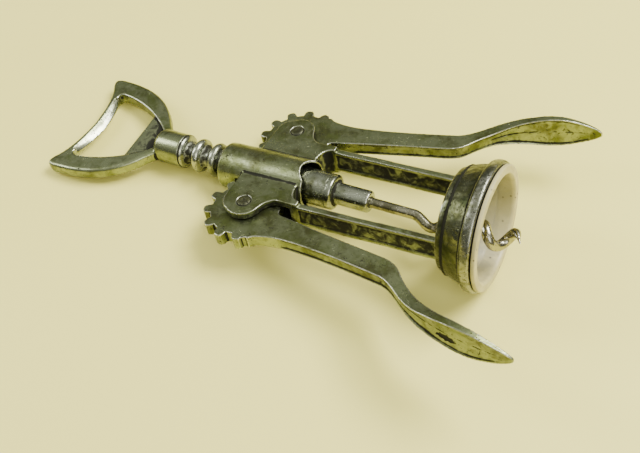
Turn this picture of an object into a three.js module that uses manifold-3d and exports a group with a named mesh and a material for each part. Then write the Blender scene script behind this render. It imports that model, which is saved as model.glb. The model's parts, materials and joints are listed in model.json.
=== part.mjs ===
// Lever (wing) corkscrew with a bottle-opener handle, lying on a table.
// Millimetres, +Z up, +X from the opener handle to the bell.
// The pieces are laid out about the axis of the casting: x runs along that axis
// from the plane of the two pivot pins, z is normal to the plane of the levers.

import * as THREE from 'three';
import { mergeVertices } from 'three/addons/utils/BufferGeometryUtils.js';
import Module from 'manifold-3d';

const wasm = await Module();
wasm.setup();

// ---- driving dimensions -------------------------------------------------

const CLEARANCE = 0.3;
const ROUND = 36;

// gear and rack
const RING_PITCH = 6.2;
const PITCH_RADIUS = 12.25;
const PRESSURE_ANGLE = 25 * Math.PI / 180;
const BACKLASH = 0.45;
const GEAR_TIP = 13.1;
const GEAR_ROOT = 10.8;
const GEAR_THICKNESS = 4.2;
const TOOTH_COUNT = 8;
const RACK_DIPS = 6;
const MESH_X = 1.1;

// casting
const PIVOT_OFFSET = 16.6;
const CHEEK_TOP = 4.7;
const POCKET_HEIGHT = 4.8;
const POCKET_RADIUS = GEAR_TIP + 0.55;
const COLLAR_RADIUS = 7.35;
const COLLAR_BORE = 6.55;
const COLLAR_START = -16.7;
const COLLAR_END = 13.5;
const CHEEK_LEFT = -7;
const CHEEK_RIGHT = 16;
const CHEEK_FILLET_X = 9;
const LOBE_RADIUS = 5.6;
const ARM_OUTER = 13.5;
const ARM_WIDTH = 2;
const ARM_HALF_HEIGHT = 3.7;
const ARM_WEB = 1;
const ARM_FLANGE = 1.1;
const ARM_START = 14.5;
const ARM_TAPER = 0.012;

// pins
const PIN_RADIUS = 2.05;
const PIN_PROUD = 0.25;

// bell and bush
const BELL_BACK = 58.9;
const BELL_BACK_WALL = 2;
const BELL_BACK_HOLE = 10.2;
const BELL_MOUTH = 70;
const BELL_BACK_RADIUS = 15.1;
const BELL_LIP_RADIUS = 18.8;
const BELL_BORE = 16;
const BUSH_RADIUS = 18;
const BUSH_FLANGE = 1.2;

// sliding unit
const RACK_RADIUS = 5.45;
const RACK_ROOT = 3.15;
const LEAN = 0.052;
const SHANK_RADIUS = 1.55;
const SHANK_BORE = 1.85;
const HANDLE_NECK_START = -42;
const FERRULE_START = 8;
const FERRULE_STEP = 21.6;
const FERRULE_RADIUS = 5.4;
const FERRULE_TIP_RADIUS = 3.35;
const FERRULE_END = 32.8;

// worm
const WORM_BEND = 46.5;
const WORM_FULL = 52.7;
const WORM_END = 78.2;
const WORM_PITCH = 9.25;
const WORM_RADIUS = 2.45;
const WORM_START_ANGLE = 218 * Math.PI / 180;
const WORM_EASE = 2;

// opener handle
const HEAD_END = 75.1;
const HEAD_HALF_WIDTH = 21.2;
const HEAD_THICKNESS = 4.2;
const HEAD_WEB = 2.4;
const LIP_X = -51.2;
const HEAD_TURN = 5.3 * Math.PI / 180;

// levers
const LEVER_LENGTH = 92.4;
const LEAF_HALF_WIDTH = 5;
const LEFT_SPLAY = 18.8 * Math.PI / 180;
const RIGHT_SPLAY = 14.4 * Math.PI / 180;

// ---- finishes -----------------------------------------------------------

function metal(colour, roughness) {
  return new THREE.MeshStandardMaterial({ color: colour, roughness, metalness: 1 });
}

const platedCasting = metal(0x8d8f86, 0.34);
const platedLever = metal(0x9a9c90, 0.3);
const platedHandle = metal(0xa3a49c, 0.26);
const brightSteel = metal(0xb4b2a8, 0.2);
const pinSteel = metal(0x6f7068, 0.45);
const whiteNylon = new THREE.MeshStandardMaterial({ color: 0xdedac8, roughness: 0.5, metalness: 0 });

// ---- solids -------------------------------------------------------------

function toSolid(geometry) {
  const bare = geometry.clone();
  bare.deleteAttribute('normal');
  bare.deleteAttribute('uv');
  const merged = mergeVertices(bare, 1e-4);
  const mesh = new wasm.Mesh({
    numProp: 3,
    vertProperties: new Float32Array(merged.attributes.position.array),
    triVerts: new Uint32Array(merged.index.array),
  });
  return new wasm.Manifold(mesh);
}

function toGeometry(solid) {
  const mesh = solid.getMesh();
  const geometry = new THREE.BufferGeometry();
  geometry.setAttribute('position', new THREE.BufferAttribute(new Float32Array(mesh.vertProperties), 3));
  geometry.setIndex(new THREE.BufferAttribute(new Uint32Array(mesh.triVerts), 1));
  geometry.computeVertexNormals();
  return geometry;
}

function join(...geometries) {
  return geometries.map(toSolid).reduce((sum, next) => sum.add(next));
}

function cut(solid, ...geometries) {
  return geometries.map(toSolid).reduce((rest, tool) => rest.subtract(tool), solid);
}

// A turned piece: profile points are [x, radius], revolved about the x axis.
function turned(profile, segments = ROUND) {
  const points = profile.map(([x, radius]) => new THREE.Vector2(radius, x));
  const geometry = new THREE.LatheGeometry(points, segments);
  geometry.rotateZ(-Math.PI / 2);
  return geometry;
}

// A rod or bore along x, closed at both ends.
function rod(start, end, radius, segments = ROUND) {
  return turned([[start, 0], [start, radius], [end, radius], [end, 0]], segments);
}

// A flat plate, outline in x and y, centred on z = 0.
function plate(shape, thickness, curveSegments = 8) {
  const options = { depth: thickness, bevelEnabled: false, curveSegments };
  const geometry = new THREE.ExtrudeGeometry(shape, options);
  geometry.translate(0, 0, -thickness / 2);
  return geometry;
}

// An upright pin or hole at (x, y).
function upright(x, y, radius, height, segments = 24) {
  const geometry = new THREE.CylinderGeometry(radius, radius, height, segments);
  geometry.rotateX(Math.PI / 2);
  geometry.translate(x, y, 0);
  return geometry;
}

function mirrored(points) {
  return points.map(([x, y]) => [x, -y]).reverse();
}

function vectors(points) {
  return points.map(([x, y]) => new THREE.Vector2(x, y));
}

// ---- body casting -------------------------------------------------------

// Half of the outline of the cheeks, on the side given by the sign.
// It runs from the collar, round the lobe over the pin, to the root of the arm.
function cheekHalf(side) {
  const pinY = PIVOT_OFFSET;
  const innerArm = ARM_OUTER - ARM_WIDTH;
  const lobeStart = Math.PI - 0.87;
  const lobeEnd = 0.35;
  const lobe = new THREE.EllipseCurve(0, pinY, LOBE_RADIUS, LOBE_RADIUS, lobeStart, lobeEnd, true);
  const lobePoints = lobe.getPoints(10);
  const first = lobePoints[0];
  const last = lobePoints[lobePoints.length - 1];
  const shoulder = new THREE.QuadraticBezierCurve(
    new THREE.Vector2(CHEEK_LEFT, pinY - 1),
    new THREE.Vector2(CHEEK_LEFT + 0.3, pinY + 3.2),
    first,
  );
  const fillet = new THREE.QuadraticBezierCurve(
    last,
    new THREE.Vector2(6.4, pinY - 2.2),
    new THREE.Vector2(CHEEK_FILLET_X, ARM_OUTER),
  );
  const crotch = new THREE.QuadraticBezierCurve(
    new THREE.Vector2(CHEEK_RIGHT, innerArm),
    new THREE.Vector2(12.8, innerArm + 0.2),
    new THREE.Vector2(12.2, innerArm - 4.5),
  );
  const points = [
    new THREE.Vector2(CHEEK_LEFT, 0),
    ...shoulder.getPoints(4).slice(0, -1),
    ...lobePoints,
    ...fillet.getPoints(5).slice(1),
    new THREE.Vector2(CHEEK_RIGHT, ARM_OUTER),
    ...crotch.getPoints(5),
  ];
  return points.map((point) => new THREE.Vector2(point.x, side * point.y));
}

function cheekShape() {
  const upper = cheekHalf(1);
  const lower = cheekHalf(-1).slice(1).reverse();
  return new THREE.Shape([...upper, ...lower]);
}

// One arm: an I-section that runs straight from the cheeks to the back of the bell.
function armGeometry(side) {
  const half = ARM_WIDTH / 2;
  const web = ARM_WEB / 2;
  const flangeFoot = ARM_HALF_HEIGHT - ARM_FLANGE;
  const quarter = [
    [half, ARM_HALF_HEIGHT],
    [half, flangeFoot + 0.4],
    [web, flangeFoot - 0.4],
  ];
  const lower = quarter.map(([y, z]) => [y, -z]).reverse();
  const right = [...quarter, ...lower];
  const left = right.map(([y, z]) => [-y, z]).reverse();
  const section = new THREE.Shape(vectors([...right, ...left]).reverse());
  const length = BELL_BACK + 1.4 - ARM_START;
  const geometry = new THREE.ExtrudeGeometry(section, { depth: length, bevelEnabled: false });
  geometry.rotateX(Math.PI / 2);
  geometry.rotateZ(Math.PI / 2);
  geometry.rotateZ(-side * ARM_TAPER);
  geometry.translate(ARM_START, side * (ARM_OUTER - half), 0);
  return geometry;
}

function bellProfile() {
  return [
    [BELL_BACK, BELL_BACK_HOLE],
    [BELL_BACK, BELL_BACK_RADIUS - 1.1],
    [BELL_BACK + 0.5, BELL_BACK_RADIUS],
    [BELL_BACK + 1.6, BELL_BACK_RADIUS + 0.35],
    [BELL_BACK + 1.9, BELL_BACK_RADIUS + 0.75],
    [BELL_BACK + 5, BELL_BACK_RADIUS + 1.45],
    [BELL_MOUTH - 3.6, BELL_BACK_RADIUS + 2.2],
    [BELL_MOUTH - 3.1, BELL_LIP_RADIUS - 0.5],
    [BELL_MOUTH - 1.6, BELL_LIP_RADIUS],
    [BELL_MOUTH - 0.5, BELL_LIP_RADIUS - 0.1],
    [BELL_MOUTH, BELL_LIP_RADIUS - 0.6],
    [BELL_MOUTH, BELL_BORE],
    [BELL_BACK + BELL_BACK_WALL, BELL_BORE],
    [BELL_BACK + BELL_BACK_WALL, BELL_BACK_HOLE],
    [BELL_BACK, BELL_BACK_HOLE],
  ];
}

function bodyCasting() {
  const tube = turned([
    [COLLAR_START, 0],
    [COLLAR_START, COLLAR_RADIUS - 0.5],
    [COLLAR_START + 0.5, COLLAR_RADIUS],
    [COLLAR_END, COLLAR_RADIUS],
    [COLLAR_END, 0],
  ]);
  const solid = join(
    tube,
    plate(cheekShape(), 2 * CHEEK_TOP),
    armGeometry(1),
    armGeometry(-1),
    turned(bellProfile(), 48),
  );
  const notch = upright(COLLAR_END + 3.4, 0, 5.6, 3 * COLLAR_RADIUS, 28);
  const tools = [
    rod(COLLAR_START - 1, COLLAR_END + 4, COLLAR_BORE),
    notch,
  ];
  for (const side of [1, -1]) {
    tools.push(upright(0, side * PIVOT_OFFSET, POCKET_RADIUS, POCKET_HEIGHT, 48));
    tools.push(upright(0, side * PIVOT_OFFSET, PIN_RADIUS + CLEARANCE, 4 * CHEEK_TOP));
  }
  return toGeometry(cut(solid, ...tools));
}

// ---- bush, pins ---------------------------------------------------------

function bellBush() {
  const outer = BELL_BORE - CLEARANCE;
  const back = BELL_BACK + BELL_BACK_WALL + CLEARANCE;
  const flangeBack = BELL_MOUTH + CLEARANCE;
  const face = flangeBack + BUSH_FLANGE;
  return turned([
    [back, 12.2],
    [back, outer],
    [flangeBack, outer],
    [flangeBack, BUSH_RADIUS],
    [face - 0.4, BUSH_RADIUS],
    [face, BUSH_RADIUS - 0.4],
    [face, 15.7],
    [face - 1.2, 14.9],
    [back + 2.2, 12.9],
    [back, 12.2],
  ], 48);
}

function pivotPin() {
  const half = CHEEK_TOP + PIN_PROUD;
  const geometry = turned([
    [-half, 0],
    [-half, PIN_RADIUS - 0.3],
    [-half + 0.3, PIN_RADIUS],
    [half - 0.3, PIN_RADIUS],
    [half, PIN_RADIUS - 0.3],
    [half, 0],
  ], 24);
  geometry.rotateY(-Math.PI / 2);
  return geometry;
}

// ---- rack, ferrule, worm ------------------------------------------------

// Axial section of the rings: straight flanks that mesh with involute teeth.
function rackProfile() {
  const slope = Math.tan(PRESSURE_ANGLE);
  const pitchLine = PIVOT_OFFSET - PITCH_RADIUS;
  const gap = RING_PITCH / 2 + BACKLASH / 2;
  const gapTop = gap / 2 + (RACK_RADIUS - pitchLine) * slope;
  const gapFoot = gap / 2 - (pitchLine - RACK_ROOT) * slope;
  const start = HANDLE_NECK_START + 9.6;
  const points = [[start, SHANK_BORE], [start, RACK_RADIUS]];
  for (let dip = RACK_DIPS - 1; dip >= 0; dip -= 1) {
    const x = MESH_X - dip * RING_PITCH;
    points.push([Math.max(x - gapTop, start + 0.3), RACK_RADIUS]);
    points.push([x - gapFoot, RACK_ROOT]);
    points.push([x + gapFoot, RACK_ROOT]);
    points.push([x + gapTop, RACK_RADIUS]);
  }
  const end = FERRULE_START - CLEARANCE;
  points.push([end, RACK_RADIUS], [end, SHANK_BORE], [start, SHANK_BORE]);
  return points;
}

function wormFerrule() {
  const bevel = 0.7;
  return turned([
    [FERRULE_START, SHANK_BORE],
    [FERRULE_START, FERRULE_RADIUS],
    [FERRULE_STEP - bevel, FERRULE_RADIUS],
    [FERRULE_STEP, FERRULE_RADIUS - bevel],
    [FERRULE_STEP, FERRULE_TIP_RADIUS + 0.35],
    [FERRULE_STEP + 0.6, FERRULE_TIP_RADIUS],
    [FERRULE_END - 0.5, FERRULE_TIP_RADIUS],
    [FERRULE_END, FERRULE_TIP_RADIUS - 0.5],
    [FERRULE_END, SHANK_BORE],
    [FERRULE_START, SHANK_BORE],
  ], 32);
}

// Centre line of the screw: straight, then out to the radius of a right-hand helix.
class WormCurve extends THREE.Curve {
  constructor(start, end) {
    super();
    this.start = start;
    this.end = end;
  }

  getPoint(t, target = new THREE.Vector3()) {
    const x = this.start + (this.end - this.start) * t;
    const out = THREE.MathUtils.smoothstep(x, WORM_BEND, WORM_FULL);
    const past = Math.max(x - WORM_FULL + WORM_EASE, 0);
    const advance = past < 2 * WORM_EASE ? past * past / (4 * WORM_EASE) : past - WORM_EASE;
    const angle = WORM_START_ANGLE + 2 * Math.PI * advance / WORM_PITCH;
    const radius = WORM_RADIUS * out;
    return target.set(x, radius * Math.cos(angle), radius * Math.sin(angle));
  }
}

function worm() {
  const sides = 10;
  const section = new THREE.Shape();
  section.absarc(0, 0, SHANK_RADIUS, 0, 2 * Math.PI, false);
  const path = new WormCurve(WORM_BEND - 4, WORM_END);
  const options = { steps: 72, curveSegments: sides / 2, bevelEnabled: false, extrudePath: path };
  const coil = new THREE.ExtrudeGeometry(section, options);
  const shank = rod(HANDLE_NECK_START + 1.5, WORM_BEND - 3, SHANK_RADIUS - 0.02, 12);
  return toGeometry(join(coil, shank));
}

// ---- opener handle ------------------------------------------------------

// Both side rails mirror each other; each line gives the +y half, from end to neck.
function handleOutline() {
  const half = HEAD_HALF_WIDTH;
  const neckX = HANDLE_NECK_START + 0.8;
  const rail = new THREE.CubicBezierCurve(
    new THREE.Vector2(-HEAD_END + 3, half),
    new THREE.Vector2(-HEAD_END + 17, half),
    new THREE.Vector2(-51, 17),
    new THREE.Vector2(-45.6, 10.4),
  );
  const points = [
    ...new THREE.QuadraticBezierCurve(
      new THREE.Vector2(-HEAD_END + 4.9, 0),
      new THREE.Vector2(-HEAD_END + 4.2, half * 0.55),
      new THREE.Vector2(-HEAD_END + 0.3, half - 2.4),
    ).getPoints(6),
    ...new THREE.QuadraticBezierCurve(
      new THREE.Vector2(-HEAD_END, half - 1.2),
      new THREE.Vector2(-HEAD_END + 0.2, half),
      new THREE.Vector2(-HEAD_END + 3, half),
    ).getPoints(4),
    ...rail.getPoints(9).slice(1),
    ...new THREE.QuadraticBezierCurve(
      new THREE.Vector2(-45.6, 10.4),
      new THREE.Vector2(-43.2, 7),
      new THREE.Vector2(neckX, 5.2),
    ).getPoints(4).slice(1),
  ];
  return new THREE.Shape([...points, ...reflect(points)]);
}

// The inner edge of the rails: the open loop and, past the lip, the sunk web.
function innerOutline(fromX, toX) {
  const rail = new THREE.CubicBezierCurve(
    new THREE.Vector2(-67, 14.6),
    new THREE.Vector2(-58, 13.6),
    new THREE.Vector2(-50, 9.6),
    new THREE.Vector2(-43.4, 3.4),
  );
  const bar = new THREE.QuadraticBezierCurve(
    new THREE.Vector2(-67.7, 0),
    new THREE.Vector2(-67.9, 7),
    new THREE.Vector2(-69.3, 12.6),
  );
  const corner = new THREE.QuadraticBezierCurve(
    new THREE.Vector2(-69.3, 12.6),
    new THREE.Vector2(-69.6, 14.8),
    new THREE.Vector2(-67, 14.6),
  );
  const whole = [...bar.getPoints(5), ...corner.getPoints(3).slice(1), ...rail.getPoints(16).slice(1)];
  const kept = whole.filter((point) => point.x > fromX && point.x < toX);
  const railAt = (x) => {
    const after = whole.findIndex((point, i) => i > 7 && point.x >= x);
    const [a, b] = [whole[after - 1], whole[after]];
    return new THREE.Vector2(x, a.y + (b.y - a.y) * (x - a.x) / (b.x - a.x));
  };
  if (fromX > -60) kept.unshift(railAt(fromX));
  if (toX < -44) kept.push(railAt(toX));
  return new THREE.Shape([...kept, ...reflect(kept)]);
}

function reflect(points) {
  return points.map((point) => new THREE.Vector2(point.x, -point.y)).reverse();
}

function openerHandle() {
  const neckEnd = HANDLE_NECK_START + 9.3;
  const neck = turned([
    [HANDLE_NECK_START - 3.4, 0],
    [HANDLE_NECK_START - 3.4, 2.6],
    [HANDLE_NECK_START, RACK_RADIUS],
    [neckEnd, RACK_RADIUS],
    [neckEnd, 0],
  ], 32);
  const solid = toSolid(plate(handleOutline(), HEAD_THICKNESS));
  const recessDepth = (HEAD_THICKNESS - HEAD_WEB) / 2;
  const recesses = [1, -1].map((face) => {
    const tool = plate(innerOutline(LIP_X - 1, 0), 2 * recessDepth);
    tool.translate(0, 0, face * HEAD_THICKNESS / 2);
    return tool;
  });
  const loop = plate(innerOutline(-HEAD_END, LIP_X), 3 * HEAD_THICKNESS);
  const socket = rod(HANDLE_NECK_START + 1.2, neckEnd + 1, SHANK_BORE, 24);
  const opened = cut(solid, loop, ...recesses).add(toSolid(neck));
  return toGeometry(cut(opened, socket));
}

// ---- levers -------------------------------------------------------------

// Half the angle that an involute tooth takes up at a radius.
function toothHalfAngle(radius) {
  const baseRadius = PITCH_RADIUS * Math.cos(PRESSURE_ANGLE);
  const involute = (angle) => Math.tan(angle) - angle;
  const local = radius > baseRadius ? Math.acos(baseRadius / radius) : 0;
  const thickness = RING_PITCH / 2 - BACKLASH / 2;
  return thickness / (2 * PITCH_RADIUS) + involute(PRESSURE_ANGLE) - involute(local);
}

// The toothed sector, with its first tooth facing the rack at rest.
// Angles run from the line of the lever, outwards; the last tooth meets the shoulder.
function gearShape(firstTooth) {
  const step = RING_PITCH / PITCH_RADIUS;
  const flank = [
    [GEAR_ROOT, toothHalfAngle(GEAR_ROOT)],
    [PITCH_RADIUS - 0.4, toothHalfAngle(PITCH_RADIUS - 0.4)],
    [GEAR_TIP - 0.35, toothHalfAngle(GEAR_TIP - 0.35)],
    [GEAR_TIP, toothHalfAngle(GEAR_TIP) - 0.03],
  ];
  const points = [];
  const add = (radius, angle) => points.push([radius * Math.cos(angle), radius * Math.sin(angle)]);
  for (let tooth = TOOTH_COUNT - 1; tooth >= 0; tooth -= 1) {
    const centre = firstTooth - tooth * step;
    flank.forEach(([radius, half]) => add(radius, centre - half));
    flank.slice().reverse().forEach(([radius, half]) => add(radius, centre + half));
  }
  const last = firstTooth + toothHalfAngle(GEAR_ROOT);
  const sweepEnd = firstTooth - (TOOTH_COUNT - 1) * step - toothHalfAngle(GEAR_ROOT) + 2 * Math.PI;
  const arcSteps = 10;
  for (let i = 1; i < arcSteps; i += 1) {
    add(GEAR_ROOT, last + (sweepEnd - last) * i / arcSteps);
  }
  return new THREE.Shape(vectors(points));
}

// Outline seen square to the lever plane, from the gear to the thumb tip.
function leverPlan() {
  const shape = new THREE.Shape();
  shape.moveTo(4, -8.6);
  shape.lineTo(10.4, -2.9);
  shape.quadraticCurveTo(24, -4.4, 46, -7.1);
  shape.quadraticCurveTo(50.6, -7.8, 53.4, -5.7);
  shape.quadraticCurveTo(62, 0.6, 72, 1.2);
  shape.quadraticCurveTo(82, 1.5, LEVER_LENGTH - 0.3, -0.3);
  shape.lineTo(LEVER_LENGTH, 0.3);
  shape.bezierCurveTo(88, 1.9, 78, 4.2, 66, 3.5);
  shape.bezierCurveTo(58, 2.6, 55, -1.3, 50, -1.1);
  shape.quadraticCurveTo(30, 0.9, 19, 3.7);
  shape.quadraticCurveTo(13.5, 5.2, 9.2, 9.2);
  shape.lineTo(0, 8);
  shape.closePath();
  return shape;
}

// Outline seen from the side: a flat bar that spreads into a leaf for the thumb.
function leverSide() {
  const half = GEAR_THICKNESS / 2;
  const leaf = [
    [LEVER_LENGTH + 0.1, 0],
    [LEVER_LENGTH - 0.6, 1],
    [LEVER_LENGTH - 3.4, 2.6],
    [LEVER_LENGTH - 7.4, 4],
    [81, LEAF_HALF_WIDTH - 0.1],
    [77, LEAF_HALF_WIDTH],
    [72, LEAF_HALF_WIDTH - 0.6],
    [66, 3.3],
    [60.5, half + 0.2],
    [56, half],
    [0, half],
  ];
  return new THREE.Shape(vectors([...mirrored(leaf), ...leaf.slice(1)]));
}

// A lever for one side; side +1 swings out towards +y.
function leverGeometry(side, splay) {
  const meshAngle = 3 * Math.PI / 2 + Math.asin(MESH_X / PITCH_RADIUS);
  const gear = plate(gearShape(meshAngle - splay), GEAR_THICKNESS);
  const side3d = plate(leverSide(), 60);
  side3d.rotateX(Math.PI / 2);
  const bar = toSolid(plate(leverPlan(), 30, 8)).intersect(toSolid(side3d));
  const hole = upright(0, 0, PIN_RADIUS + CLEARANCE, 4 * GEAR_THICKNESS);
  const geometry = toGeometry(bar.add(toSolid(gear)).subtract(toSolid(hole)));
  if (side < 0) {
    geometry.scale(1, -1, 1);
    const index = geometry.index.array;
    for (let i = 0; i < index.length; i += 3) {
      [index[i], index[i + 1]] = [index[i + 1], index[i]];
    }
    geometry.computeVertexNormals();
  }
  return geometry;
}

// ---- assembly -----------------------------------------------------------

function piece(name, geometry, material) {
  const mesh = new THREE.Mesh(geometry, material);
  mesh.name = name;
  return mesh;
}

// The casting, its pins and the levers, rolled so that the handle lies level.
function castingGroup() {
  const group = new THREE.Group();
  group.add(piece('body_casting', bodyCasting(), platedCasting));
  group.add(piece('bell_bush', bellBush(), whiteNylon));
  const sides = [
    { word: 'left', side: 1, splay: LEFT_SPLAY },
    { word: 'right', side: -1, splay: RIGHT_SPLAY },
  ];
  for (const { word, side, splay } of sides) {
    const pin = piece(`pivot_pin_${word}`, pivotPin(), pinSteel);
    pin.position.set(0, side * PIVOT_OFFSET, 0);
    const lever = piece(`lever_${word}`, leverGeometry(side, splay), platedLever);
    lever.position.copy(pin.position);
    lever.rotation.z = side * splay;
    group.add(pin, lever);
  }
  group.rotation.x = -HEAD_TURN;
  return group;
}

// The rack, the handle and the worm share one axis that leans in the collar.
function slidingGroup() {
  const group = new THREE.Group();
  group.add(piece('ring_rack', turned(rackProfile(), 32), platedHandle));
  group.add(piece('opener_handle', openerHandle(), platedHandle));
  group.add(piece('worm_ferrule', wormFerrule(), platedHandle));
  const screw = piece('worm', worm(), brightSteel);
  screw.rotation.x = -HEAD_TURN;
  group.add(screw);
  group.rotation.y = LEAN;
  return group;
}

// The object rests on the lowest point of the bell lip and the end of the handle.
function restingPitch() {
  const lipX = BELL_MOUTH - 1.6;
  const handleRise = HEAD_END * Math.sin(LEAN) - HEAD_THICKNESS / 2;
  return Math.atan((BELL_LIP_RADIUS + handleRise) / (HEAD_END + lipX));
}

const corkscrew = new THREE.Group();
const pitched = new THREE.Group();
pitched.add(castingGroup(), slidingGroup());
pitched.rotation.y = -restingPitch();
corkscrew.add(pitched);

corkscrew.updateMatrixWorld(true);
const bounds = new THREE.Box3().setFromObject(corkscrew, true);
const centre = bounds.getCenter(new THREE.Vector3());
pitched.position.set(-centre.x, -centre.y, -bounds.min.z);

export default corkscrew;
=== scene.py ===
import json
import math
import bmesh
import bpy
import numpy as np
from mathutils import Matrix, Vector, noise
from mathutils.bvhtree import BVHTree


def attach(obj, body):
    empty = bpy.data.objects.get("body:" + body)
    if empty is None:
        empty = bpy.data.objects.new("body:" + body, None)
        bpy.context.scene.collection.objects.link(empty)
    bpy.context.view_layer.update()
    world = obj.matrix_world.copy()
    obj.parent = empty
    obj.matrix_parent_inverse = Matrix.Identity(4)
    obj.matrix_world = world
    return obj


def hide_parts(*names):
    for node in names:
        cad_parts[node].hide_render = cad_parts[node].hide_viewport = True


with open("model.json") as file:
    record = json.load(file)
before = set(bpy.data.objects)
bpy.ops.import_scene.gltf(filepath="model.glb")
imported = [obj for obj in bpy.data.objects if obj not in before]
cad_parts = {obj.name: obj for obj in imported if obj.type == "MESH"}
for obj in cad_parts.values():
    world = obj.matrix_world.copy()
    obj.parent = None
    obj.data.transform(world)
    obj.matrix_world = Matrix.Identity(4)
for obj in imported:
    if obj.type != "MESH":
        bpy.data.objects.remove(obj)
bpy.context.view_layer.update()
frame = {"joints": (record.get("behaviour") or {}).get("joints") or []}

# Lever corkscrew. Lengths below are millimetres in the frame of each part:
# x along the tool from the handle to the bell, z out of the plane of the levers.

MM = 0.001

PIVOT = 16.6
CHEEK_TOP = 4.7
POCKET_RADIUS = 13.65
POCKET_HALF = 2.4
COLLAR_RADIUS = 7.35
COLLAR_BORE = 6.55
COLLAR_START = -16.7
COLLAR_END = 13.5
CHEEK_LEFT = -7.0
CHEEK_RIGHT = 16.0
LOBE_RADIUS = 5.6
PIN_RADIUS = 2.05
PIN_PROUD = 0.25
ARM_OUTER = 13.5
ARM_WIDTH = 2.0
ARM_HALF_HEIGHT = 3.7
ARM_START = 14.5
ARM_TAPER = 0.012

BELL_BACK = 58.9
BELL_MOUTH = 70.0
BELL_BACK_RADIUS = 15.1
BELL_LIP_RADIUS = 18.8
BELL_BORE = 16.0
BELL_HOLE = 10.2

RING_PITCH = 6.2
PITCH_RADIUS = 12.25
PRESSURE_ANGLE = math.radians(25)
BACKLASH = 0.45
MESH_X = 1.1
GEAR_TIP = 13.1
GEAR_ROOT = 10.8
GEAR_HALF = 2.1
TEETH = 8

RACK_RADIUS = 5.45
RACK_ROOT = 3.15
RACK_START = -32.4
RACK_END = 7.7
RACK_DIPS = 6
NECK_START = -42.0
NECK_END = -32.7
FERRULE_START = 8.0
FERRULE_STEP = 21.6
FERRULE_END = 32.8
FERRULE_RADIUS = 5.4
FERRULE_TIP_RADIUS = 3.35
SHANK_BORE = 1.85

WORM_BEND = 46.5
WORM_FULL = 52.7
WORM_END = 78.2
WORM_PITCH = 9.25
WORM_RADIUS = 2.45
WORM_ANGLE = math.radians(218)
WORM_EASE = 2.0
WIRE_RADIUS = 1.55

HEAD_END = 75.1
HEAD_HALF = 21.2
HEAD_THICK = 4.2
LIP_X = -51.2
HEAD_TURN = math.radians(5.3)

LEVER_LENGTH = 92.4
LEFT_SPLAY = math.radians(18.8)
RIGHT_SPLAY = math.radians(14.4)


# ---- frames --------------------------------------------------------------

JOINTS = {joint["name"]: joint for joint in frame["joints"]}


def axes_matrix(origin, x, y, z):
    turn = Matrix((x, y, z)).transposed().to_4x4()
    return Matrix.Translation(origin) @ turn @ Matrix.Scale(MM, 4)


def casting_frame():
    left = Vector(JOINTS["lever_left_hinge"]["pos_m"])
    right = Vector(JOINTS["lever_right_hinge"]["pos_m"])
    z = Vector(JOINTS["lever_left_hinge"]["axis"]).normalized()
    y = (left - right).normalized()
    return axes_matrix((left + right) / 2, y.cross(z), y, z)


def sliding_frame():
    spin = JOINTS["handle_spin"]
    x = Vector(spin["axis"]).normalized()
    y = Vector((0, 1, 0))
    return axes_matrix(Vector(spin["pos_m"]), x, y, x.cross(y))


CASTING = casting_frame()
SLIDING = sliding_frame()


def lever_frame(side, splay):
    return CASTING @ Matrix.Translation((0, side * PIVOT, 0)) @ Matrix.Rotation(side * splay, 4, "Z")


# ---- mesh helpers --------------------------------------------------------

def new_object(name, verts, faces):
    mesh = bpy.data.meshes.new(name)
    mesh.from_pydata([tuple(v) for v in verts], [], faces)
    mesh.update()
    obj = bpy.data.objects.new(name, mesh)
    bpy.context.scene.collection.objects.link(obj)
    return obj


def outward(obj, merge=1e-4):
    """Merges doubles and turns the faces of a closed mesh outwards."""
    bm = bmesh.new()
    bm.from_mesh(obj.data)
    bmesh.ops.remove_doubles(bm, verts=bm.verts, dist=merge)
    bmesh.ops.recalc_face_normals(bm, faces=bm.faces)
    if bm.calc_volume(signed=True) < 0:
        bmesh.ops.reverse_faces(bm, faces=bm.faces)
    bm.to_mesh(obj.data)
    bm.free()
    return obj


def closely(profile, step=0.36):
    """Adds points along a profile, so that no step is longer than this."""
    out = [profile[0]]
    for (x0, r0), (x1, r1) in zip(profile, profile[1:]):
        parts = max(1, math.ceil(math.hypot(x1 - x0, r1 - r0) / step))
        out += [(x0 + (x1 - x0) * k / parts, r0 + (r1 - r0) * k / parts) for k in range(1, parts + 1)]
    return out


def turned_open(name, profile, segments=96):
    """A skin of revolution about x, open at both ends; the profile is a list of (x, radius)."""
    verts, faces = [], []
    profile = closely(profile)
    count = len(profile)
    for i in range(segments):
        angle = 2 * math.pi * i / segments
        c, s = math.cos(angle), math.sin(angle)
        verts += [(x, r * c, r * s) for x, r in profile]
    for i in range(segments):
        a, b = i * count, (i + 1) % segments * count
        for k in range(count - 1):
            faces.append((a + k, b + k, b + k + 1, a + k + 1))
    return new_object(name, verts, faces)


def turned(name, profile, segments=96):
    """A solid of revolution about x; its profile starts and ends on the axis or closes on itself."""
    return outward(turned_open(name, profile, segments))


def prism(name, outline, low, high):
    """An outline in x and y, closed between two heights."""
    count = len(outline)
    verts = [(x, y, low) for x, y in outline] + [(x, y, high) for x, y in outline]
    faces = [tuple(range(count)), tuple(range(count, 2 * count))]
    for i in range(count):
        j = (i + 1) % count
        faces.append((i, j, count + j, count + i))
    return outward(new_object(name, verts, faces))


def loft(name, sections):
    """Closed loops of points with equal counts, joined end to end and capped."""
    count = len(sections[0])
    verts = [p for section in sections for p in section]
    faces = [tuple(range(count)), tuple(range(len(verts) - count, len(verts)))]
    for s in range(len(sections) - 1):
        a, b = s * count, (s + 1) * count
        for i in range(count):
            j = (i + 1) % count
            faces.append((a + i, a + j, b + j, b + i))
    return outward(new_object(name, verts, faces))


def plug(start, end, radius):
    """The profile of a plain round rod."""
    return [(start, 0), (start, radius), (end, radius), (end, 0)]


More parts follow.
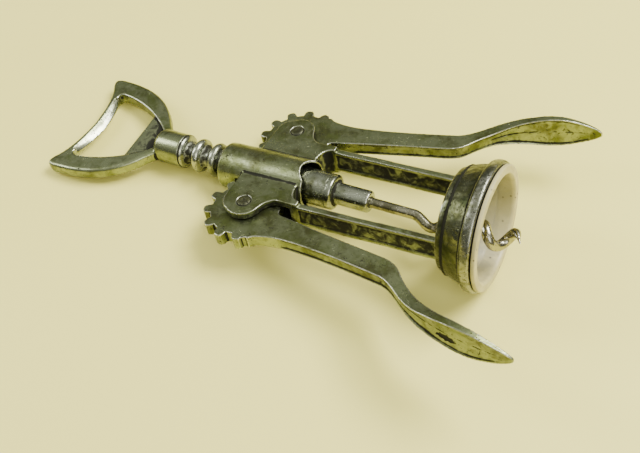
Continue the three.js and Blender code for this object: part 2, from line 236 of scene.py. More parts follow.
def upright(name, x, y, radius, half_height, segments=64):
    outline = [
        (x + radius * math.cos(2 * math.pi * i / segments), y + radius * math.sin(2 * math.pi * i / segments))
        for i in range(segments)
    ]
    return prism(name, outline, -half_height, half_height)


def bezier(points, steps):
    """Points on a quadratic or cubic curve, both ends included."""
    out = []
    for i in range(steps + 1):
        t = i / steps
        level = [Vector(p) for p in points]
        while len(level) > 1:
            level = [a.lerp(b, t) for a, b in zip(level, level[1:])]
        out.append((level[0].x, level[0].y))
    return out


def mirror_y(points):
    return [(x, -y) for x, y in reversed(points)]


def inset(outline, distance):
    """Moves a closed smooth outline inwards; it must run anticlockwise."""
    area = sum(a[0] * b[1] - b[0] * a[1] for a, b in zip(outline, outline[1:] + outline[:1]))
    sign = 1 if area > 0 else -1
    out = []
    for i, here in enumerate(outline):
        before, after = Vector(outline[i - 1]), Vector(outline[(i + 1) % len(outline)])
        along = (after - before).normalized()
        normal = Vector((-along.y, along.x)) * sign
        moved = Vector(here) + normal * distance
        out.append((moved.x, moved.y))
    return out


def rounded_prism(name, outline, half, radius, steps=4, flare=1):
    """A prism with rounded rims; flare -1 widens the rims, for a cutter."""
    levels = []
    for i in range(steps + 1):
        angle = math.pi / 2 * i / steps
        levels.append((half - radius + radius * math.sin(angle), radius * (1 - math.cos(angle))))
    if flare < 0:
        levels.append((half + 2, levels[-1][1]))
    full = [(-z, d) for z, d in reversed(levels)] + levels
    sections = [[(x, y, z) for x, y in inset(outline, flare * d)] for z, d in full]
    return loft(name, sections)


def evaluated(obj):
    """Replaces an object's mesh with what its modifiers make of it."""
    graph = bpy.context.evaluated_depsgraph_get()
    mesh = bpy.data.meshes.new_from_object(obj.evaluated_get(graph))
    obj.modifiers.clear()
    obj.data = mesh
    return obj


def combine(obj, operation, others):
    for other in others:
        step = obj.modifiers.new(operation, "BOOLEAN")
        step.operation = operation
        step.solver = "EXACT"
        step.object = other
    evaluated(obj)
    for other in others:
        bpy.data.objects.remove(other)
    return obj


def join(obj, *others):
    return combine(obj, "UNION", others)


def cut(obj, *others):
    return combine(obj, "DIFFERENCE", others)


def cast_skin(obj, voxel, smooth=3, keep=0.5):
    """Gives a joined solid the soft edges and fillets of a die casting."""
    skin = obj.modifiers.new("skin", "REMESH")
    skin.mode = "VOXEL"
    skin.voxel_size = voxel
    soften = obj.modifiers.new("soften", "SMOOTH")
    soften.factor = 0.5
    soften.iterations = smooth
    if keep < 1:
        thin = obj.modifiers.new("thin", "DECIMATE")
        thin.ratio = keep
    return evaluated(obj)


def ripple(obj, amount, scale, seed):
    """Moves the surface by smooth noise, as an uneven casting."""
    mesh = obj.data
    shift = Vector((seed * 3.1, seed * 1.7, seed * 2.3))
    moved = []
    for vertex in mesh.vertices:
        value = noise.noise(vertex.co * scale + shift) + 0.5 * noise.noise(vertex.co * scale * 2.3 + shift)
        moved.extend(vertex.co + vertex.normal * (value * amount))
    mesh.vertices.foreach_set("co", moved)
    mesh.update()
    return obj


def place(obj, matrix):
    obj.data.transform(matrix)
    obj.data.update()
    for polygon in obj.data.polygons:
        polygon.use_smooth = True
    return obj


# ---- surface attributes --------------------------------------------------

def neighbour_mean(values, a, b, degree):
    """Average of each vertex's neighbours along the mesh edges."""
    near = [np.bincount(a, v[b], len(v)) + np.bincount(b, v[a], len(v)) for v in values.T]
    return np.stack(near, 1) / degree[:, None]


BEND_REACH = 0.7 * MM
BEND_PASSES = 3
SUNK_DEPTH = 0.65 * MM
SUNK_PASSES = 50


def mark_edges(obj, brightened=None, darkened=None):
    """Stores ridge and hollow, 0 to 1, from how the surface bends and where it is sunk; hollow later darkens
    the colour as painted shade with grime, and ridge brightens it as rubbed wear with a painted highlight.
    """
    mesh = obj.data
    count = len(mesh.vertices)
    places = np.empty(count * 3)
    mesh.vertices.foreach_get("co", places)
    places = places.reshape(-1, 3)
    normals = np.empty(count * 3)
    mesh.vertices.foreach_get("normal", normals)
    normals = normals.reshape(-1, 3)
    edges = np.empty(len(mesh.edges) * 2, dtype=np.int64)
    mesh.edges.foreach_get("vertices", edges)
    a, b = edges.reshape(-1, 2).T
    degree = np.maximum(np.bincount(a, minlength=count) + np.bincount(b, minlength=count), 1)
    gap = places[b] - places[a]
    square = np.maximum((gap * gap).sum(1), 1e-12)
    bend = np.bincount(a, -2 * (normals[a] * gap).sum(1) / square, count)
    bend += np.bincount(b, 2 * (normals[b] * gap).sum(1) / square, count)
    bend = (bend / degree)[:, None]
    for _ in range(BEND_PASSES):
        bend = 0.5 * bend + 0.5 * neighbour_mean(bend, a, b, degree)
    bend = bend[:, 0] * BEND_REACH
    wide = places
    for _ in range(SUNK_PASSES):
        wide = neighbour_mean(wide, a, b, degree)
    sunk = ((wide - places) * normals).sum(1) / SUNK_DEPTH
    ridge = np.clip(bend, 0, 1)
    # Brightened spots add rubbed wear with a painted highlight to the ridge value.
    if brightened:
        ridge = np.maximum(ridge, [brightened(Vector(spot)) for spot in places])
    hollow = np.maximum(-bend, 0) + np.maximum(sunk, 0)
    # Darkened spots add painted shade on the casting, and the dark slot of the right lever, to the hollow
    # value.
    if darkened:
        hollow = np.maximum(hollow, [darkened(Vector(spot)) for spot in places])
    for name, values in (("ridge", ridge), ("hollow", hollow)):
        layer = mesh.attributes.new(name, "FLOAT", "POINT")
        layer.data.foreach_set("value", np.clip(values, 0, 1))
    return obj


def spread_directions(count):
    """Directions spread evenly over a half sphere."""
    golden = math.pi * (3 - math.sqrt(5))
    out = []
    for i in range(count):
        z = 1 - (i + 0.5) / count
        radius = math.sqrt(1 - z * z)
        out.append(Vector((radius * math.cos(golden * i), radius * math.sin(golden * i), z)))
    return out


def mark_occlusion_shade(group, others=(), reach=7 * MM, rays=10):
    """Stores how much of each point's view its own body blocks; the colour darkens there as painted shade,
    with grime.
    """
    verts, faces, start = [], [], 0
    for obj in [*group, *others]:
        verts += [v.co.copy() for v in obj.data.vertices]
        faces += [[start + i for i in p.vertices] for p in obj.data.polygons]
        start = len(verts)
    tree = BVHTree.FromPolygons(verts, faces)
    directions = spread_directions(rays)
    for obj in group:
        values = []
        for vertex in obj.data.vertices:
            turn = vertex.normal.to_track_quat("Z", "Y")
            origin = vertex.co + vertex.normal * (0.08 * MM)
            hits = 0.0
            for direction in directions:
                distance = tree.ray_cast(origin, turn @ direction, reach)[3]
                if distance is not None:
                    hits += 1 - 0.6 * distance / reach
            values.append(hits / rays)
        layer = obj.data.attributes.new("occlusion_shade", "FLOAT", "POINT")
        layer.data.foreach_set("value", values)


# ---- node helpers --------------------------------------------------------

def group_tree(name, kind, inputs, outputs):
    tree = bpy.data.node_groups.new(name, kind)
    for label, socket, value in inputs:
        item = tree.interface.new_socket(label, in_out="INPUT", socket_type=socket)
        if value is not None:
            item.default_value = value
    for label, socket in outputs:
        tree.interface.new_socket(label, in_out="OUTPUT", socket_type=socket)
    return tree, tree.nodes.new("NodeGroupInput"), tree.nodes.new("NodeGroupOutput")


def feed(tree, socket, value):
    """Links a socket's value to an input, or sets a plain value on it."""
    if isinstance(value, bpy.types.NodeSocket):
        tree.links.new(value, socket)
    else:
        socket.default_value = value


def add_node(tree, kind, **inputs):
    """Adds a node; each input is given by its name, with a value or a socket."""
    node = tree.nodes.new(kind)
    for key, value in inputs.items():
        feed(tree, node.inputs[key.replace("_", " ")], value)
    return node


def maths(tree, operation, a, b=0.0, clamp=False):
    node = tree.nodes.new("ShaderNodeMath")
    node.operation = operation
    node.use_clamp = clamp
    for socket, value in zip(node.inputs, (a, b)):
        feed(tree, socket, value)
    return node.outputs[0]


def times(tree, a, b):
    return maths(tree, "MULTIPLY", a, b)


def plus(tree, a, b):
    return maths(tree, "ADD", a, b)


def minus(tree, a, b):
    return maths(tree, "SUBTRACT", a, b)


def ramp(tree, value, low, high, to_low=0.0, to_high=1.0):
    node = tree.nodes.new("ShaderNodeMapRange")
    node.interpolation_type = "SMOOTHSTEP"
    tree.links.new(value, node.inputs["Value"])
    for label, number in (("From Min", low), ("From Max", high), ("To Min", to_low), ("To Max", to_high)):
        feed(tree, node.inputs[label], number)
    return node.outputs["Result"]


def blend_colour(tree, factor, a, b):
    """Mixes two colours, each a socket or three numbers."""
    node = tree.nodes.new("ShaderNodeMix")
    node.data_type = "RGBA"
    feed(tree, node.inputs[0], factor)
    for position, value in ((6, a), (7, b)):
        feed(tree, node.inputs[position], (*value, 1) if isinstance(value, tuple) else value)
    return node.outputs[2]


def noise_node(tree, vector, scale, detail=4.0, roughness=0.55, distortion=0.0):
    node = add_node(tree, "ShaderNodeTexNoise", Vector=vector, Scale=scale, Detail=detail)
    feed(tree, node.inputs["Roughness"], roughness)
    feed(tree, node.inputs["Distortion"], distortion)
    return node.outputs["Fac"]


def specks(tree, vector, scale, small, large):
    """Round dots spread over the surface, 1 at their middles."""
    cells = add_node(tree, "ShaderNodeTexVoronoi", Vector=vector, Scale=scale)
    return ramp(tree, cells.outputs["Distance"], small, large, 1.0, 0.0)


def relief(tree, shader, height, strength, distance):
    """Raises a surface by a height pattern."""
    bump = add_node(tree, "ShaderNodeBump", Strength=strength, Distance=distance, Height=height)
    tree.links.new(bump.outputs["Normal"], shader.inputs["Normal"])


def add_group(tree, group, **inputs):
    """Adds a shared effect, with this material's own values."""
    node = tree.nodes.new("ShaderNodeGroup")
    node.node_tree = group
    for label, value in inputs.items():
        feed(tree, node.inputs[label], value)
    return node


# ---- shared finishes -----------------------------------------------------

def wear_and_painted_light_group():
    """Masks of old bright plating: dull film, grime with painted shade packed in hollows, rubbed ridges with
    a painted highlight, and pits.
    """
    tree, entry, out = group_tree(
        "worn_plating",
        "ShaderNodeTree",
        [
            ("Vector", "NodeSocketVector", None),
            ("Ridge", "NodeSocketFloat", 0.0),
            ("Hollow", "NodeSocketFloat", 0.0),
            ("Occlusion_shade", "NodeSocketFloat", 0.0),
            ("Film", "NodeSocketFloat", 0.5),
            ("Grime", "NodeSocketFloat", 0.5),
            ("Pitting", "NodeSocketFloat", 0.5),
            ("Wear", "NodeSocketFloat", 0.5),
        ],
        [
            ("Film", "NodeSocketFloat"),
            ("Grime", "NodeSocketFloat"),
            ("Rub_and_highlight", "NodeSocketFloat"),
            ("Pits", "NodeSocketFloat"),
            ("Height", "NodeSocketFloat"),
        ],
    )
    get = entry.outputs
    spot = get["Vector"]
    cloud = noise_node(tree, spot, 90, 6, 0.62, 0.4)
    patch = noise_node(tree, spot, 320, 5, 0.6, 0.8)
    speck = noise_node(tree, spot, 1500, 3, 0.5)
    film_base = plus(tree, times(tree, cloud, 0.65), times(tree, patch, 0.35))
    film_low = minus(tree, 0.78, times(tree, get["Film"], 0.6))
    film_high = plus(tree, film_low, 0.22)
    film = ramp(tree, film_base, film_low, film_high)
    # Rubbed wear on ridges, and also a painted highlight along the edges.
    rub_and_highlight = ramp(tree, get["Ridge"], 0.22, 0.85)
    rub_and_highlight = times(tree, rub_and_highlight, ramp(tree, patch, 0.34, 0.58, 0.25, 1.0))
    rub_and_highlight = times(tree, rub_and_highlight, ramp(tree, speck, 0.36, 0.52, 0.55, 1.0))
    rub_and_highlight = times(tree, rub_and_highlight, get["Wear"])
    film = times(tree, film, minus(tree, 1.0, times(tree, rub_and_highlight, 0.85)))

    # Grime and painted shade: the colour darkens in hollows and where the body blocks the view; the blots
    # below are dirt only.
    hollow_grime_and_shade = plus(tree, times(tree, get["Hollow"], 1.3), get["Occlusion_shade"])
    hollow_grime_and_shade = times(tree, hollow_grime_and_shade, ramp(tree, patch, 0.3, 0.68, 0.6, 1.2))
    grime_and_shade_low = minus(tree, 0.62, times(tree, get["Grime"], 0.5))
    grime_and_shade = ramp(tree, hollow_grime_and_shade, grime_and_shade_low, plus(tree, grime_and_shade_low, 0.5))
    spot_edge = minus(tree, 0.66, times(tree, get["Grime"], 0.1))
    blots = noise_node(tree, spot, 640, 5, 0.75, 1.2)
    spots = ramp(tree, blots, spot_edge, plus(tree, spot_edge, 0.05))
    grime_and_shade = maths(tree, "MAXIMUM", grime_and_shade, spots)

    dot = specks(tree, spot, 1250, 0.1, 0.26)
    pit_edge = minus(tree, 0.74, times(tree, get["Pitting"], 0.36))
    where = ramp(tree, noise_node(tree, spot, 210, 3, 0.6), pit_edge, plus(tree, pit_edge, 0.1))
    pits = times(tree, dot, where)

    height = times(tree, speck, 0.12)
    height = plus(tree, height, times(tree, patch, 0.35))
    height = minus(tree, height, times(tree, pits, 0.9))
    height = plus(tree, height, times(tree, grime_and_shade, 0.12))
    for label, value in (("Film", film), ("Grime", grime_and_shade), ("Rub_and_highlight", rub_and_highlight), ("Pits", pits), ("Height", height)):
        tree.links.new(value, out.inputs[label])
    return tree


def metal_colour_group():
    """Colour, roughness and metalness of the plating from its masks."""
    tree, entry, out = group_tree(
        "plating_colour",
        "ShaderNodeTree",
        [
            ("Vector", "NodeSocketVector", None),
            ("Bright", "NodeSocketColor", (0.7, 0.7, 0.64, 1)),
            ("Dull", "NodeSocketColor", (0.3, 0.31, 0.2, 1)),
            ("Dirt_and_shade", "NodeSocketColor", (0.02, 0.02, 0.012, 1)),
            ("Film", "NodeSocketFloat", 0.0),
            ("Grime", "NodeSocketFloat", 0.0),
            ("Rub_and_highlight", "NodeSocketFloat", 0.0),
            ("Pits", "NodeSocketFloat", 0.0),
            ("Polish", "NodeSocketFloat", 0.2),
        ],
        [
            ("Color", "NodeSocketColor"),
            ("Roughness", "NodeSocketFloat"),
            ("Metallic", "NodeSocketFloat"),
        ],
    )
    get = entry.outputs
    tint = noise_node(tree, get["Vector"], 150, 4, 0.6)
    dull = blend_colour(tree, ramp(tree, tint, 0.35, 0.65), get["Dull"], (0.085, 0.09, 0.035))
    colour = blend_colour(tree, get["Film"], get["Bright"], dull)
    # Painted highlight: ridges and rubbed places take a light colour, partly as real wear.
    colour = blend_colour(tree, times(tree, get["Rub_and_highlight"], 0.85), colour, (0.80, 0.79, 0.72))
    # The dark colour is grime and pits together with painted shade in hollows.
    dirt_and_shade = maths(tree, "MAXIMUM", get["Grime"], times(tree, get["Pits"], 0.85))
    colour = blend_colour(tree, dirt_and_shade, colour, get["Dirt_and_shade"])
    rough = plus(tree, get["Polish"], times(tree, get["Film"], 0.15))
    rough = plus(tree, rough, times(tree, tint, 0.12))
    rough = minus(tree, rough, times(tree, get["Rub_and_highlight"], 0.1))
    rough = maths(tree, "ADD", rough, times(tree, dirt_and_shade, 0.45), clamp=True)
    metallic = maths(tree, "SUBTRACT", 1.0, times(tree, dirt_and_shade, 0.3), clamp=True)
    tree.links.new(colour, out.inputs["Color"])
    tree.links.new(rough, out.inputs["Roughness"])
    tree.links.new(metallic, out.inputs["Metallic"])
    return tree


WEAR_AND_LIGHT = wear_and_painted_light_group()
PLATING = metal_colour_group()


def attribute(tree, name):
    node = tree.nodes.new("ShaderNodeAttribute")
    node.attribute_name = name
    return node.outputs["Fac"]


def new_material(name):
    material = bpy.data.materials.new(name)
    material.use_nodes = True
    tree = material.node_tree
    shader = tree.nodes["Principled BSDF"]
    vector = tree.nodes.new("ShaderNodeTexCoord").outputs["Object"]
    return material, tree, shader, vector


def plated(name, bright, dull, film, grime_and_shade, pitting, polish, wear_and_highlight, bump=0.00018, offset=(0, 0, 0)):
    """Old plating; the offset keeps two pieces from showing the same pattern."""
    material, tree, shader, vector = new_material(name)
    shifted = add_node(tree, "ShaderNodeMapping", Vector=vector, Location=offset).outputs[0]
    marks = {label: attribute(tree, label.lower()) for label in ("Ridge", "Hollow", "Occlusion_shade")}
    # The masks carry grime with painted shade, and rubbed wear with a painted highlight.
    wear_and_light = add_group(
        tree, WEAR_AND_LIGHT, Vector=shifted, Film=film, Grime=grime_and_shade, Pitting=pitting, Wear=wear_and_highlight, **marks
    )
    masks = {label: wear_and_light.outputs[label] for label in ("Film", "Grime", "Rub_and_highlight", "Pits")}
    look = add_group(
        tree, PLATING, Vector=shifted, Bright=(*bright, 1), Dull=(*dull, 1), Polish=polish, **masks
    )
    tree.links.new(look.outputs["Color"], shader.inputs["Base Color"])
    tree.links.new(look.outputs["Roughness"], shader.inputs["Roughness"])
    tree.links.new(look.outputs["Metallic"], shader.inputs["Metallic"])
    relief(tree, shader, wear_and_light.outputs["Height"], 0.75, bump)
    return material


def aged_nylon():
    """Cream plastic, darker inside as painted shade with grime, and flecked with dark specks."""
    material, tree, shader, vector = new_material("aged_nylon")
    cloud = noise_node(tree, vector, 110, 5, 0.6, 0.5)
    colour = blend_colour(tree, ramp(tree, cloud, 0.35, 0.7), (0.56, 0.50, 0.24), (0.43, 0.38, 0.17))
    # Painted shade: occluded places inside the ring take a darker colour.
    occlusion_shade = ramp(tree, attribute(tree, "occlusion_shade"), 0.08, 0.55)
    colour = blend_colour(tree, times(tree, occlusion_shade, 0.85), colour, (0.20, 0.19, 0.13))
    dot = specks(tree, vector, 430, 0.08, 0.2)
    speckle = times(tree, dot, ramp(tree, noise_node(tree, vector, 160, 3), 0.47, 0.57))
    colour = blend_colour(tree, times(tree, speckle, 0.85), colour, (0.06, 0.05, 0.03))
    tree.links.new(colour, shader.inputs["Base Color"])
    tree.links.new(ramp(tree, cloud, 0.3, 0.7, 0.38, 0.6), shader.inputs["Roughness"])
    relief(tree, shader, noise_node(tree, vector, 700, 4), 0.4, 0.0001)
    shader.inputs["Subsurface Weight"].default_value = 0.08
    shader.inputs["Subsurface Radius"].default_value = (0.002, 0.0015, 0.001)
    return material


# Each finish's grime value also sets the strength of its painted shade, and its wear value sets the strength
# of its painted highlight.
CASTING_METAL = plated(
    "casting_plating", bright=(0.29, 0.32, 0.18), dull=(0.125, 0.15, 0.044),
    film=0.65, grime_and_shade=0.68, pitting=0.75, polish=0.21, wear_and_highlight=0.5,
)
BELL_METAL = plated(
    "bell_plating", bright=(0.17, 0.18, 0.11), dull=(0.035, 0.043, 0.018),
    film=0.75, grime_and_shade=0.8, pitting=1.0, polish=0.17, wear_and_highlight=0.9, bump=0.00026, offset=(0.3, 0, 0),
)
LEVER_METAL = plated(
    "lever_plating", bright=(0.28, 0.31, 0.17), dull=(0.13, 0.155, 0.046),
    film=0.65, grime_and_shade=0.72, pitting=0.75, polish=0.22, wear_and_highlight=0.6, offset=(0, 0.2, 0),
)
HANDLE_METAL = plated(
    "handle_plating", bright=(0.29, 0.32, 0.18), dull=(0.13, 0.155, 0.048),
    film=0.6, grime_and_shade=0.36, pitting=0.55, polish=0.2, wear_and_highlight=0.8, offset=(0, 0, 0.2),
)
RACK_METAL = plated(
    "rack_plating", bright=(0.38, 0.40, 0.31), dull=(0.13, 0.145, 0.08),
    film=0.6, grime_and_shade=0.42, pitting=0.85, polish=0.15, wear_and_highlight=0.7, offset=(0.1, 0.1, 0),
)
WORM_METAL = plated(
    "worm_steel", bright=(0.40, 0.38, 0.28), dull=(0.11, 0.10, 0.055),
    film=0.6, grime_and_shade=0.5, pitting=0.95, polish=0.13, wear_and_highlight=0.6, offset=(0, 0.3, 0.1),
)
PIN_METAL = plated(
    "pin_steel", bright=(0.10, 0.10, 0.07), dull=(0.04, 0.042, 0.025),
    film=0.7, grime_and_shade=0.85, pitting=0.6, polish=0.34, wear_and_highlight=0.06,
)
NYLON = aged_nylon()


# ---- repeated pieces: one geometry tree ----------------------------------

def copies_tree():
    """Copies the modifier's own mesh in a row or round the z axis, and merges it."""
    tree, entry, out = group_tree(
        "row_of_copies",
        "GeometryNodeTree",
        [
            ("Geometry", "NodeSocketGeometry", None),
            ("Count", "NodeSocketInt", 1),
            ("Step", "NodeSocketFloat", 1.0),
            ("Start Angle", "NodeSocketFloat", 0.0),
            ("Turn", "NodeSocketFloat", 0.0),
            ("Material", "NodeSocketMaterial", None),
        ],
        [("Geometry", "NodeSocketGeometry")],
    )
    get = entry.outputs
    offset = add_node(tree, "ShaderNodeCombineXYZ", X=get["Step"])
    count = get["Count"]
    points = add_node(tree, "GeometryNodeMeshLine", Count=count, Offset=offset.outputs[0])
    index = tree.nodes.new("GeometryNodeInputIndex").outputs[0]
    angle = maths(tree, "MULTIPLY_ADD", index, get["Turn"])
    tree.links.new(get["Start Angle"], angle.node.inputs[2])
    spin = add_node(tree, "ShaderNodeCombineXYZ", Z=angle)
    copies = add_node(
        tree,
        "GeometryNodeInstanceOnPoints",
        Points=points.outputs[0],
        Instance=get["Geometry"],
        Rotation=spin.outputs[0],
    )
    real = add_node(tree, "GeometryNodeRealizeInstances", Geometry=copies.outputs[0])
    merged = add_node(tree, "GeometryNodeMergeByDistance", Geometry=real.outputs[0], Distance=1e-3)
    dressed = add_node(tree, "GeometryNodeSetMaterial", Geometry=merged.outputs[0])
    tree.links.new(get["Material"], dressed.inputs["Material"])
    tree.links.new(dressed.outputs[0], out.inputs["Geometry"])
    return tree


def with_inputs(obj, tree, **values):
    """Adds a geometry tree to an object and sets its named inputs."""
    step = obj.modifiers.new(tree.name, "NODES")
    step.node_group = tree
    for item in tree.interface.items_tree:
        key = item.name.replace(" ", "_")
        if item.in_out == "INPUT" and key in values:
            step[item.identifier] = values[key]
    return evaluated(obj)


COPIES = copies_tree()


# ---- casting -------------------------------------------------------------

def cheek_half():
    """One side of both cheeks, from the collar round the pin to the arm root."""
    inner = ARM_OUTER - ARM_WIDTH
    lobe = []
    for i in range(25):
        angle = math.pi - 0.87 + (0.35 - math.pi + 0.87) * i / 24
        lobe.append((LOBE_RADIUS * math.cos(angle), PIVOT + LOBE_RADIUS * math.sin(angle)))
    points = [(CHEEK_LEFT, 0)]
    points += bezier([(CHEEK_LEFT, PIVOT - 1), (CHEEK_LEFT + 0.3, PIVOT + 3.2), lobe[0]], 8)[:-1]
    points += lobe
    points += bezier([lobe[-1], (6.4, PIVOT - 2.2), (9, ARM_OUTER)], 8)[1:]
    points += [(CHEEK_RIGHT, ARM_OUTER)]
    points += bezier([(CHEEK_RIGHT, inner), (12.8, inner + 0.2), (12.2, inner - 4.5)], 8)
    return points


def arm(side):
    """An I-section bar from the cheeks to the bell."""
    half, web, flange = ARM_WIDTH / 2, 0.5, ARM_HALF_HEIGHT - 1.1
    quarter = [(half, ARM_HALF_HEIGHT), (half, flange + 0.3), (web, flange - 0.4)]
    right = quarter + [(y, -z) for y, z in reversed(quarter)]
    section = right + [(-y, z) for y, z in reversed(right)]
    length = BELL_BACK + 1.4 - ARM_START
    obj = loft("arm", [[(x, y, z) for y, z in section] for x in (0, length)])
    obj.data.transform(Matrix.Rotation(-side * ARM_TAPER, 4, "Z"))
    obj.data.transform(Matrix.Translation((ARM_START, side * (ARM_OUTER - half), 0)))
    return obj


def casting_body():
    upper = cheek_half()
    outline = upper + [(x, -y) for x, y in reversed(upper[1:])]
    body = prism("casting_body", outline, -CHEEK_TOP, CHEEK_TOP)
    collar = turned("collar", [
        (COLLAR_START, 0),
        (COLLAR_START, COLLAR_RADIUS - 0.5),
        (COLLAR_START + 0.5, COLLAR_RADIUS),
        (COLLAR_END, COLLAR_RADIUS),
        (COLLAR_END, 0),
    ])
    join(body, collar, arm(1), arm(-1))
    tools = [
        turned("bore", plug(COLLAR_START - 1, COLLAR_END + 4, COLLAR_BORE)),
        upright("notch", COLLAR_END + 3.4, 0, 5.6, 12),
    ]
    for side in (1, -1):
        tools.append(upright("pocket", 0, side * PIVOT, POCKET_RADIUS, POCKET_HALF, 96))
        tools.append(upright("pin_hole", 0, side * PIVOT, PIN_RADIUS + 0.16, 9))
    cut(body, *tools)
    cast_skin(body, 0.26, 3, 0.45)
    ripple(body, 0.035, 0.35, 4)
    return body


def bell():
    """The cup, with a ring at its small end, a flared wall and a rounded lip."""
    b = BELL_BACK
    r = BELL_BACK_RADIUS
    m = BELL_MOUTH
    lip = BELL_LIP_RADIUS
    profile = [(b, BELL_HOLE)]
    profile += [(b, BELL_HOLE + (r - 1.3 - BELL_HOLE) * i / 6) for i in range(1, 7)]
    profile += bezier([(b, r - 0.9), (b + 0.15, r - 0.1), (b + 0.8, r + 0.05)], 6)
    profile += bezier([(b + 1.5, r + 0.2), (b + 1.9, r + 0.2), (b + 2.1, r + 0.45)], 5)
    profile += bezier([(b + 2.5, r + 0.8), (b + 4.6, r + 1.55), (m - 3.9, r + 2.1)], 16)
    profile += bezier([(m - 3.6, r + 2.15), (m - 3.35, r + 2.2), (m - 3.2, lip - 0.75)], 5)
    profile += bezier([(m - 3.1, lip - 0.45), (m - 2.5, lip), (m - 1.5, lip)], 8)
    profile += bezier([(m - 1.1, lip), (m - 0.1, lip), (m, lip - 0.8)], 8)
    profile += [(m, lip - 1.6), (m, BELL_BORE), (b + 2, BELL_BORE), (b + 2, BELL_HOLE), (b, BELL_HOLE)]
    obj = turned("bell_skin", profile, 200)
    shift = Vector((7.0, 1.0, 2.0))
    for vertex in obj.data.vertices:
        x, y, z = vertex.co
        radius = math.hypot(y, z)
        if b + 0.4 < x < m - 3.4 and radius > r - 0.5:
            deep = noise.noise(vertex.co * 0.45 + shift) * 0.2 + noise.noise(vertex.co * 1.5 + shift) * 0.1
            vertex.co.y -= y / radius * abs(deep)
            vertex.co.z -= z / radius * abs(deep)
    return obj


def bush():
    outer = BELL_BORE - 0.3
    back = BELL_BACK + 2.3
    flange = BELL_MOUTH + 0.3
    face = flange + 1.2
    profile = [(back, 12.2), (back, outer), (flange, outer), (flange, 17.7)]
    profile += bezier([(flange + 0.1, 18), (flange + 0.5, 18), (face - 0.4, 18)], 3)
    profile += bezier([(face - 0.25, 18), (face, 17.9), (face, 17.5)], 4)
    profile += [(face, 16.9), (face - 0.06, 16.6), (face, 16.3)]
    profile += bezier([(face, 15.9), (face - 0.05, 15.4), (face - 0.9, 15.05)], 6)
    profile += [(back + 5.2, 14.2), (back + 5, 14.05), (back + 2.6, 13.1)]
    profile += bezier([(back + 2.2, 12.9), (back + 0.8, 12.3), (back, 12.2)], 4)
    return turned("bush_ring", profile, 160)


def peened_pin(name):
    """A pin with a dented, hammered head at both ends."""
    h = CHEEK_TOP + PIN_PROUD
    face = [(h - 0.12, 0.0), (h - 0.1, 0.5), (h, 1.0), (h - 0.02, 1.5), (h - 0.3, PIN_RADIUS)]
    profile = [(-x, r) for x, r in face] + face[::-1]
    obj = turned(name, profile, 48)
    obj.data.transform(Matrix.Rotation(-math.pi / 2, 4, "Y"))
    return obj


# ---- levers --------------------------------------------------------------

SLOT_AT = (74.2, -1.7)


def smoothstep(low, high, value):
    t = min(max((value - low) / (high - low), 0.0), 1.0)
    return t * t * (3 - 2 * t)


def along(points, u):
    """Reads a smooth height from a few (u, value) points."""
    if u <= points[0][0]:
        return points[0][1]
    for (u0, v0), (u1, v1) in zip(points, points[1:]):
        if u <= u1:
            return v0 + (v1 - v0) * (u - u0) / (u1 - u0)
    return points[-1][1]


LEVER_INNER = (
    bezier([(8, -3.0), (24, -4.3), (46, -7.1)], 12)
    + bezier([(46, -7.1), (50.6, -7.8), (53.4, -5.7)], 8)[1:]
    + bezier([(53.4, -5.7), (62, 0.6), (72, 1.2)], 12)[1:]
    + bezier([(72, 1.2), (82, 1.5), (LEVER_LENGTH, -0.3)], 12)[1:]
)
LEVER_OUTER = (
    bezier([(8, 9.6), (12, 5.6), (19, 3.7)], 8)
    + bezier([(19, 3.7), (30, 0.9), (50, -1.1)], 12)[1:]
    + bezier([(50, -1.1), (55, -1.3), (58, 2.6), (66, 3.5)], 12)[1:]
    + bezier([(66, 3.5), (78, 4.2), (88, 1.9), (LEVER_LENGTH, 0.3)], 14)[1:]
)
LEVER_HEIGHT = [
    (8, 2.1), (56, 2.1), (58.5, 2.15), (60.5, 2.3), (63, 2.7), (66, 3.3), (69, 3.95),
    (72, 4.4), (74.5, 4.8), (77, 5.0), (79, 5.0), (81, 4.9), (83, 4.55), (85, 4.0),
    (87.2, 3.3), (89, 2.6), (90.6, 1.85), (91.7, 1.15), (92.1, 0.75), (92.4, 0.3),
]


def lever_section(u):
    """A channelled bar that spreads into a thumb leaf dished on both faces."""
    v_in, v_out, half = along(LEVER_INNER, u), along(LEVER_OUTER, u), along(LEVER_HEIGHT, u)
    thick = v_out - v_in
    leaf = smoothstep(57, 66, u)
    window = smoothstep(15, 20, u) * (1 - smoothstep(LEVER_LENGTH - 4.5, LEVER_LENGTH - 1.2, u))
    rim = min(0.75, 0.3 * half)
    depth = min(0.4 + 0.3 * leaf, 0.24 * thick) * window
    bend = 0.1 * thick * leaf * window
    heights = [half, half - 0.4 * rim, half - 0.75 * rim, half - 1.1 * rim]
    floor_height = heights[-1]
    heights += [floor_height * k / 4 for k in (3, 2, 1)] + [0.09 * half]
    sinks = [0.0, 0.0, depth * 0.6, depth]
    sinks += [depth + bend * (1 - k / 4) for k in (3, 2, 1, 0.4)]
    upper = list(zip(heights, sinks))
    broken = min(max(noise.noise(Vector((0.45 * u, 3.7, 0.0))) + 0.45, 0.0), 1.0)
    crease = depth + bend + 0.16 * broken * thick * leaf * window
    full = upper + [(0.0, crease)] + [(-z, sunk) for z, sunk in reversed(upper)]
    outer = [(u, v_out - sunk, z) for z, sunk in full]
    inner = [(u, v_in + sunk * 0.9, z) for z, sunk in full]
    return outer + inner[::-1]


def lever_bar():
    start, step = 8, 0.75
    stations = [start + i * step for i in range(int((LEVER_LENGTH - 1 - start) / step) + 1)]
    stations += [LEVER_LENGTH - 0.55, LEVER_LENGTH - 0.3, LEVER_LENGTH - 0.08]
    return loft("lever_bar", [lever_section(u) for u in stations])


